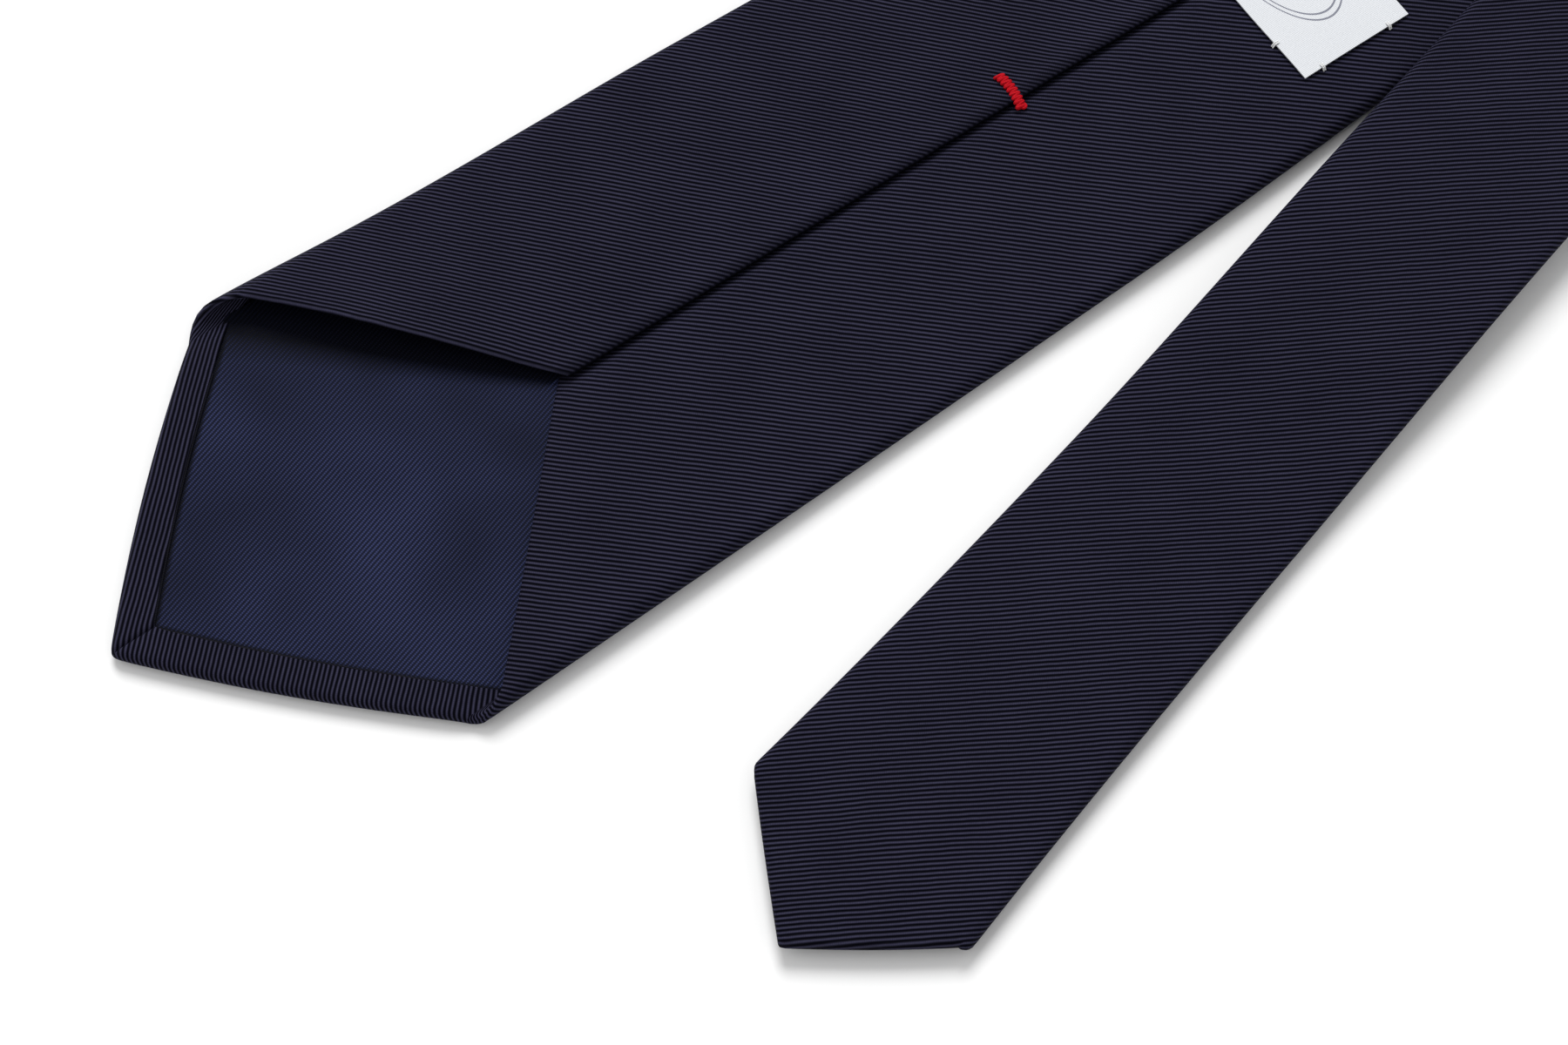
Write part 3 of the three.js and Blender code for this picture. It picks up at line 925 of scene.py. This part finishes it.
tail = {
    "hemDeep": 1.8, "rounding": 0.1, "length": 500, "fine": 0.95, "coarse": 3.8, "fineUntil": 60.0,
    "stitched": 17, "hemTop": 2.24,
}
tailSlope = tie["tailTipDepth"] / tie["tailHalfWidth"]


def fromTail(s):
    return totalLength - s


tailMade = pointCloth(
    "tailCloth", tailSlope, tie["tailHemWidth"], tail["hemDeep"],
    growingSteps(tail), lambda c: tipEdge(c, tailSlope, fromTail, tailBow, tail["rounding"]),
    lambda c: fromTail(joinLine(tailJoin, joinGap, c)), fromTail, tailBow)
tailCloth = finishSheet(tailMade, "tail_half", shellMaterial, "tail_shell")
print("tail made:", len(tailCloth.data.polygons), "faces")


def layer(name, rows, columns, inset, thickness, sOf, heightAt):
    # sOf(rowShare, share) gives how far along the tie a corner lies
    def measures(row, column):
        share = 2 * column / (columns - 1) - 1
        s = sOf(row / (rows - 1), share)
        return s, share * (halfOn(share, s) - inset), share

    def placeAt(row, column):
        s, y, share = measures(row, column)
        return place(s, y, heightAt(s, share))

    def flatAt(row, column, _):
        return measures(row, column)[:2]

    return gridPiece(name, rows, columns, placeAt, flatAt, thickness)


inner = {
    "feltInset": 3.6, "feltMiddle": 1.1, "feltThick": 1.1, "feltTip": 2.0, "feltGap": 0.3,
    "liningThick": 0.2, "bladeInset": 2.5, "bladeUnderHem": 1.1, "bladeMiddle": 2.0, "climb": 0.1,
    "drop": 0.2, "wave": 0.06, "tailInset": 2.2, "tailUnderHem": 1.0, "tailMiddle": 1.75,
}


def bladeLiningHeight(s, share):
    climb = inner["climb"] * sidePuff(s, 1) * ease(share, 0.95, 1.02)
    drop = inner["drop"] * ease(-share, 0.93, 1.0)
    return inner["bladeMiddle"] + climb - drop + inner["wave"] * sin(s / 7 + 3 * share)


def bladeLiningRow(along, share):
    edge = bladeSlope * abs(share) * (tie["bladeHalfWidth"] - inner["bladeInset"])
    edge += (tie["hemWidth"] - inner["bladeUnderHem"]) * hypot(1, bladeSlope)
    return lerp(edge, tie["tippingEnd"], along)


finishSheet(
    layer("bladeTipping", 96, 60, inner["bladeInset"], inner["liningThick"], bladeLiningRow,
          bladeLiningHeight),
    "blade_half", bladeLining, "blade_tipping")


def tailLiningRow(along, share):
    edge = tailSlope * abs(share) * (tie["tailHalfWidth"] - inner["tailInset"])
    edge += (tie["tailHemWidth"] - inner["tailUnderHem"]) * hypot(1, tailSlope)
    return fromTail(lerp(tie["tailTippingEnd"], edge, along))


finishSheet(
    layer("tailTipping", 40, 30, inner["tailInset"], inner["liningThick"], tailLiningRow,
          lambda s, share: inner["tailMiddle"]),
    "tail_half", tailLining, "tail_tipping")


def feltEdge(share, slope, halfWidth):
    return slope * abs(share) * (halfWidth - inner["feltInset"]) + inner["feltTip"]


def bladeFeltRow(along, share):
    # rows from the point to just past the fold, closer where it bends
    end = pieceAt - inner["feltGap"]
    marks = [(0.0, feltEdge(share, bladeSlope, tie["bladeHalfWidth"])), (0.45, tie["bladeLength"] - 15),
             (0.62, tie["bladeLength"] - 2), (0.88, tailStart + 2), (1.0, end)]
    for (a, sa), (b, sb) in zip(marks, marks[1:]):
        if along <= b:
            return lerp(sa, sb, (along - a) / (b - a))
    return end


bladeFelt = finishSheet(
    layer("bladeInterlining", 101, 25, inner["feltInset"], inner["feltThick"], bladeFeltRow,
          lambda s, share: inner["feltMiddle"]),
    None, felt, "blade_interlining")
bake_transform(bladeFelt)


def tailFeltRow(along, share):
    return lerp(pieceAt + inner["feltGap"], fromTail(feltEdge(share, tailSlope, tie["tailHalfWidth"])), along)


finishSheet(
    layer("tailInterlining", 120, 15, inner["feltInset"], inner["feltThick"], tailFeltRow,
          lambda s, share: inner["feltMiddle"]),
    "tail_half", felt, "tail_interlining")
print("interlining and tippings made")

# small slanted stitches that catch the hem to the lining, and a line of them in the hem's corner; their
# near-black colour and the corner line's double thickness are painted shade along the hem's inner edge
catching = {
    "every": 2.1, "across": 0.9, "along": 0.55, "back": 0.5, "rise": 0.1, "sink": 0.34, "points": 5,
    "thread": 0.1, "first": 1.2, "cornerFirst": 0.4, "cornerAlong": 0.16, "cornerDown": 0.22,
}


def tippingStitches(name, settings, slope, hemWidth, toTie, bow, node, body):
    slant = hypot(1, slope)
    half, hemTop = settings["stitched"], settings["hemTop"]

    def cornerAt(y):
        return slope * abs(y) + hemWidth * slant - bowAt(y, bow)

    def stitch(first, side):
        line = []
        for k in range(catching["points"]):
            u = k / (catching["points"] - 1)
            y = side * (first + catching["across"] * u / slant)
            s = cornerAt(y) + (catching["along"] * u - catching["back"]) * slant
            rise = catching["rise"] * sin(pi * u) - catching["sink"] * u
            line.append(place(toTie(s), y, hemTop + rise))
        return line

    lines = []
    count = int((half - 4) * slant / catching["every"])
    for side in (-1, 1):
        lines += [stitch(catching["first"] + i * catching["every"] / slant, side) for i in range(count)]
    for side in (-1, 1):
        line = []
        for i in range(int(half)):
            y = side * (catching["cornerFirst"] + i * (half - 3) / half)
            s = cornerAt(y) + catching["cornerAlong"] * slant
            line.append(place(toTie(s), y, hemTop - catching["cornerDown"]))
        lines.append(line)
    piece = tube(name, lines, catching["thread"], 2, heavy=2)
    finishPiece(piece, body, shadeDarkThread, node)


tippingStitches("bladeTippingThread", blade, bladeSlope, tie["hemWidth"], same, bladeBow,
                "blade_tipping_thread", "blade_half")
tippingStitches("tailTippingThread", tail, tailSlope, tie["tailHemWidth"], fromTail, tailBow,
                "tail_tipping_thread", "tail_half")

joinThreadRadius = 0.16


def joinThread(name, at, body, node):
    # seam stitches down in the groove, right round the tie
    line = []
    for column in wrap:
        if column[0] != "turn":
            s = joinLine(at, 0, column)
            y, h, _ = section(s, column, joinThreadRadius)
            line.append(place(s, y, h))
    piece = tube(name, [line], joinThreadRadius, 2)
    finishPiece(piece, body, navyThread, node)


joinThread("bladeJoinThread", tie["joinAt"], "blade_half", "blade_join_thread")
joinThread("tailJoinThread", tailJoin, "tail_half", "tail_join_thread")

# loose stitches that catch both flaps from inside, closer round the fold
slip = {
    "height": 1.98, "lift": (0.08, 1.1), "sway": (0.5, 0.9), "thread": 0.13, "step": 1.6, "foldStep": 0.9,
    "foldRoom": 6, "gap": 0.5,
}


def slipStitch(name, start, end, body, node):
    (lift, liftTurn), (sway, swayTurn) = slip["lift"], slip["sway"]
    line, s = [], start
    while s < end:
        line.append(place(s, sway * sin(s * swayTurn), slip["height"] + lift * sin(s * liftTurn)))
        inFold = tie["bladeLength"] - slip["foldRoom"] < s < tailStart + slip["foldRoom"]
        s += slip["foldStep"] if inFold else slip["step"]
    piece = tube(name, [line], slip["thread"], 2)
    finishPiece(piece, body, navyThread, node)
    return piece


bladeSlip = slipStitch("bladeSlipStitch", tie["tackAt"], pieceAt - slip["gap"], None, "blade_slip_stitch")
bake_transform(bladeSlip)
slipStitch("tailSlipStitch", pieceAt + slip["gap"], fromTail(tie["tailTackAt"]), "tail_half",
           "tail_slip_stitch")
print("threads made")

# two strands wound over three laid ones, across the seam, with the thread's last loop beside them
barTack = {
    "length": 6.8, "halfWidth": 0.7, "halfHeight": 0.2, "strand": 0.25, "turns": 8.5, "windPoints": 205,
    "windApart": 0.03, "bow": 0.45, "lean": 0.07, "sideways": 0.5, "endDrop": 0.3,
    "laidAt": (-0.36, 0, 0.36), "laidPoints": 21, "loopAt": (0.02, 0.5, 0.22), "loopRadius": 0.38,
    "loopTurn": 1.9 * pi, "loopPoints": 25, "bladeLift": 0.32, "tailLift": 0.05,
}


def addBarTack(name, s, tieHeight, body, node):
    def tackPoint(u, across, up):
        end = 2 * u - 1
        y = end / 2 * barTack["length"]
        bow = barTack["bow"] * (1 - end ** 2) + barTack["lean"] * y
        h = tieHeight + up - barTack["endDrop"] * end ** 8
        return place(s + across + bow, y + barTack["sideways"], h)

    lines = []
    last, middle = barTack["windPoints"] - 1, barTack["halfHeight"]
    for turn in (-1, 1):
        line = []
        for i in range(last + 1):
            phase = turn * 2 * pi * barTack["turns"] * i / last
            up = middle + (middle + barTack["windApart"] * turn) * sin(phase)
            line.append(tackPoint(i / last, barTack["halfWidth"] * cos(phase), up))
        lines.append(line)
    last = barTack["laidPoints"] - 1
    for across in barTack["laidAt"]:
        lines.append([tackPoint(i / last, across, middle) for i in range(last + 1)])
    loop, radius = [], barTack["loopRadius"]
    u, across, up = barTack["loopAt"]
    for i in range(barTack["loopPoints"]):
        angle = barTack["loopTurn"] * i / (barTack["loopPoints"] - 1)
        point = tackPoint(u, across + radius * sin(angle), up)
        loop.append(point + Vector((0, radius * cos(angle), 0)))
    piece = tube(name, lines + [loop], barTack["strand"], 3)
    finishPiece(piece, body, redThread, node)


addBarTack("bladeBarTack", tie["tackAt"], tie["bladeThick"] + barTack["bladeLift"], "blade_half",
           "blade_bar_tack")
addBarTack("tailBarTack", fromTail(tie["tailTackAt"]), tie["tailThick"] + barTack["tailLift"], "tail_half",
           "tail_bar_tack")

label = {
    "at": 204.5, "width": 20.6, "halfLength": 24.0, "thick": 0.28, "lift": 0.42, "dome": 0.25,
    "domeEnd": 30, "sway": 0.15, "rows": 30, "columns": 60, "tackInset": 3.7, "sideInset": 7.6,
    "stitch": 1.2, "strands": (-0.16, 0.14), "strand": 0.14, "edgeInset": 0.12, "stitchPoints": 9,
    "stitchLift": 0.2, "stitchRise": 0.12, "stitchSink": 0.25, "edgeSink": 0.3,
}


def labelHeight(s, y):
    across = sin(pi * clamp((s - label["at"]) / label["width"]))
    return thickAt(s) + label["lift"] + label["dome"] * across * (1 - (y / label["domeEnd"]) ** 4)


def labelShare(row, column):
    # across its width, and how far from its middle towards an end
    y = lerp(-label["halfLength"], label["halfLength"], column / (label["columns"] - 1))
    return row / (label["rows"] - 1), y


def labelPlace(row, column):
    u, y = labelShare(row, column)
    s = label["at"] + label["width"] * u + label["sway"] * sin(y / 5)
    return place(s, y, labelHeight(s, y))


def labelFlat(row, column, _):
    u, y = labelShare(row, column)
    return (label["width"] * u, y)


finishSheet(
    gridPiece("wovenLabel", label["rows"], label["columns"], labelPlace, labelFlat, label["thick"]),
    "blade_half", labelWeave, "label")


def labelStitch(number, s, y, alongTie):
    lines = []
    for shift in label["strands"]:
        line = []
        for i in range(label["stitchPoints"]):
            u = i / (label["stitchPoints"] - 1)
            step = (u - 0.5) * label["stitch"]
            atS, atY = (s + step, y + shift) if alongTie else (s + shift, y + step)
            past = max(abs(atY) - label["halfLength"], label["at"] - atS)
            h = labelHeight(atS, y) + label["stitchLift"] + label["stitchRise"] * sin(pi * u)
            h -= label["stitchSink"] * (2 * u - 1) ** 6 + label["edgeSink"] * ease(past, 0, 0.5)
            line.append(place(atS, atY, h))
        lines.append(line)
    piece = tube(f"labelTack{number}", lines, label["strand"], 2)
    finishPiece(piece, "blade_half", whiteThread, f"label_tack_{number}")


def labelStitches():
    # two at each end of the label, and one at each end of its near side
    nearS = label["at"] + label["tackInset"]
    farS = label["at"] + label["width"] - label["tackInset"]
    for side, first in ((-1, 1), (1, 4)):
        endY = side * (label["halfLength"] - label["edgeInset"])
        sideY = side * (label["halfLength"] - label["sideInset"])
        labelStitch(first, nearS, endY, False)
        labelStitch(first + 1, farS, endY, False)
        labelStitch(first + 2, label["at"] + label["edgeInset"], sideY, True)


labelStitches()
print("label and tacks made")

studio = {
    "floor": 6.0,
    "floorAt": (0.3, 0, -0.0002),
    "floorColour": (0.9, 0.9, 0.9, 1),
    "floorRoughness": 0.9,
    "floorGloss": 0.1,
    "sky": 0.6,
    "aim": (0.05, -0.03, 0),
    # each lamp: where it stands, how wide it looks in degrees, and its strength
    "lamps": [("keyLamp", (0.5, 0.72, 0.95), 30, 2.25), ("fillLamp", (-0.7, 0.5, 1.1), 45, 0.34)],
}


def addStudio(settings):
    bpy.ops.object.select_all(action="DESELECT")
    bpy.ops.mesh.primitive_plane_add(size=settings["floor"], location=settings["floorAt"])
    floor = bpy.context.object
    floor.name = "floor"
    n = shaderKit("pale table", settings["floorRoughness"])
    n.surface("Base Color", settings["floorColour"])
    n.surface("Specular IOR Level", settings["floorGloss"])
    floor.data.materials.append(n.material)
    world = bpy.data.worlds.new("studio")
    world.use_nodes = True
    sky = world.node_tree.nodes["Background"]
    sky.inputs["Color"].default_value = (1, 1, 1, 1)
    sky.inputs["Strength"].default_value = settings["sky"]
    bpy.context.scene.world = world
    for name, where, width, strength in settings["lamps"]:
        bpy.ops.object.light_add(type="SUN", location=where)
        lamp = bpy.context.object
        lamp.name = name
        lamp.data.angle = radians(width)
        lamp.data.energy = strength
        lamp.rotation_euler = (Vector(settings["aim"]) - Vector(where)).to_track_quat("-Z", "Y").to_euler()
    bpy.context.scene.view_settings.view_transform = "Standard"


addStudio(studio)
print("studio made")
